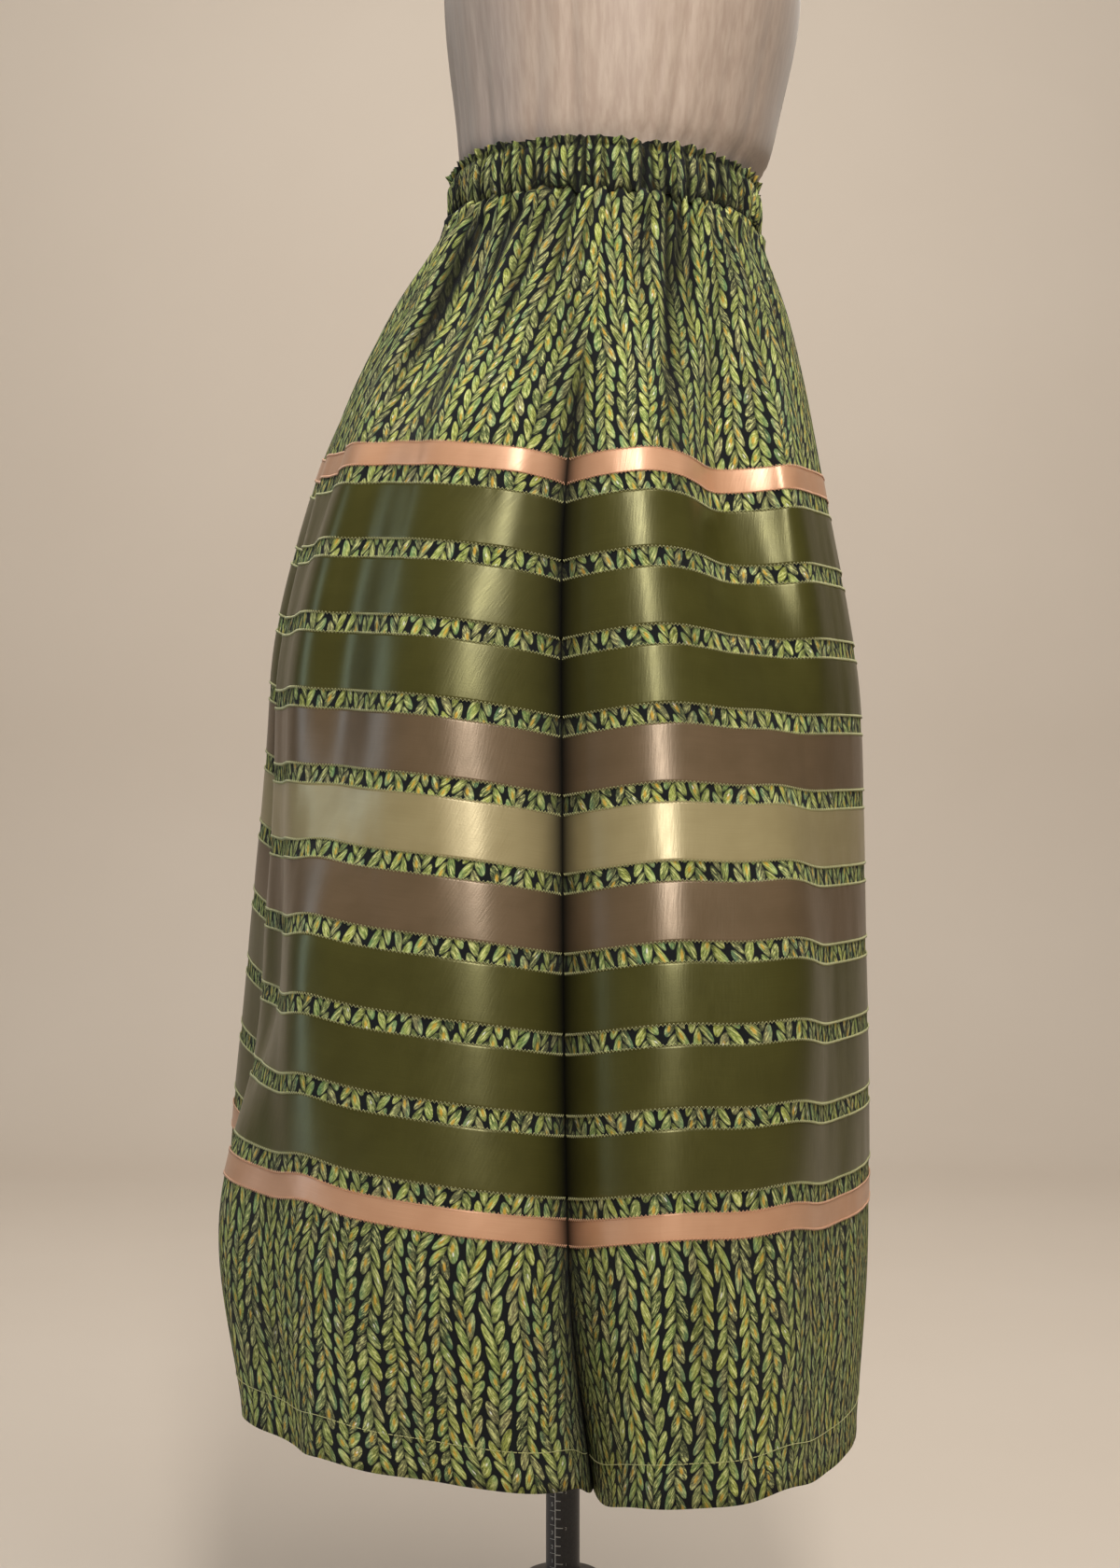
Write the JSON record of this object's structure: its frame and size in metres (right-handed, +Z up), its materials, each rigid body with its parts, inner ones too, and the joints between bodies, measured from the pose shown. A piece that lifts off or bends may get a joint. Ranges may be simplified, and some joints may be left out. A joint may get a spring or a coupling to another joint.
{
  "type": "ribbon skirt on a dress form",
  "caption": "Long gathered ribbon skirt in leaf print with rows of satin ribbon, worn by a limbless dress form on a pole stand.",
  "frame": {"origin": "on the floor under the middle of the pole, at the centre of the base's underside", "axes": "+Z up along the pole, +X towards the wearer's front, -Y towards the wearer's right side"},
  "size_m": [0.4626, 0.5396, 1.5743],
  "materials": {
    "leaf_print": "matt printed cotton with a braided-leaf pattern in greens, yellow and near black",
    "peach_satin": "satin ribbon, narrow",
    "olive_satin": "satin ribbon",
    "taupe_satin": "satin ribbon",
    "sand_satin": "satin ribbon",
    "khaki_thread": "sewing thread",
    "peach_thread": "sewing thread",
    "champagne_cover": "satin stretch cover",
    "charcoal_paint": "satin",
    "scale_print": "white printed marks",
    "cap_plastic": "matt"
  },
  "bodies": {
    "root": {"front_panel": "leaf_print", "back_panel": "leaf_print", "waistband": "leaf_print", "ribbon_01_peach_front": "peach_satin", "ribbon_02_olive_front": "olive_satin", "ribbon_03_olive_front": "olive_satin", "ribbon_04_olive_front": "olive_satin", "ribbon_05_taupe_front": "taupe_satin", "ribbon_06_sand_front": "sand_satin", "ribbon_07_taupe_front": "taupe_satin", "ribbon_08_olive_front": "olive_satin", "ribbon_09_olive_front": "olive_satin", "ribbon_10_olive_front": "olive_satin", "ribbon_11_peach_front": "peach_satin", "ribbon_01_peach_back": "peach_satin", "ribbon_02_olive_back": "olive_satin", "ribbon_03_olive_back": "olive_satin", "ribbon_04_olive_back": "olive_satin", "ribbon_05_taupe_back": "taupe_satin", "ribbon_06_sand_back": "sand_satin", "ribbon_07_taupe_back": "taupe_satin", "ribbon_08_olive_back": "olive_satin", "ribbon_09_olive_back": "olive_satin", "ribbon_10_olive_back": "olive_satin", "ribbon_11_peach_back": "peach_satin", "form_torso": "champagne_cover", "neck_cap": "cap_plastic", "pole": "charcoal_paint", "stand_base": "charcoal_paint"}
  },
  "joints": []
}
